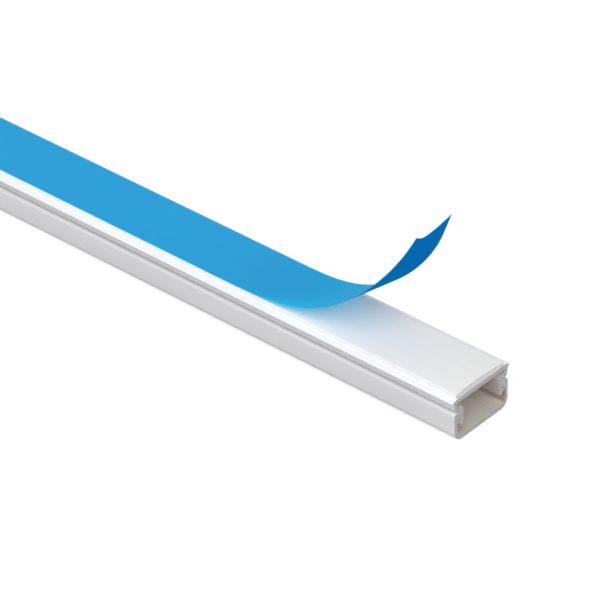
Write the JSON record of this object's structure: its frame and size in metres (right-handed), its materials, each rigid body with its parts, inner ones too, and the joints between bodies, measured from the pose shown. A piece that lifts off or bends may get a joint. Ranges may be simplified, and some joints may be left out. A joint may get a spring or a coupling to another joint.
{
  "type": "cord cover raceway",
  "caption": "Straight self-adhesive cord raceway: a base channel with foam tape and a part-peeled release liner, closed by a U-shaped cover that clips on.",
  "frame": {"origin": "centre of the cover's outer face, half way along the stick", "axes": "+X along the stick towards the end where the liner is peeled, +Z from the cover's face towards the adhesive back"},
  "size_m": [0.4, 0.0218, 0.0465],
  "materials": {
    "base_plastic": "smooth white extruded plastic",
    "cover_plastic": "smooth white extruded plastic",
    "tape_foam": "white foam with a tacky skin",
    "liner_film": "satin blue film"
  },
  "bodies": {
    "root": {"base_channel": "base_plastic", "snap_cover": "cover_plastic", "adhesive_tape": "tape_foam", "release_liner": "liner_film"}
  },
  "joints": []
}
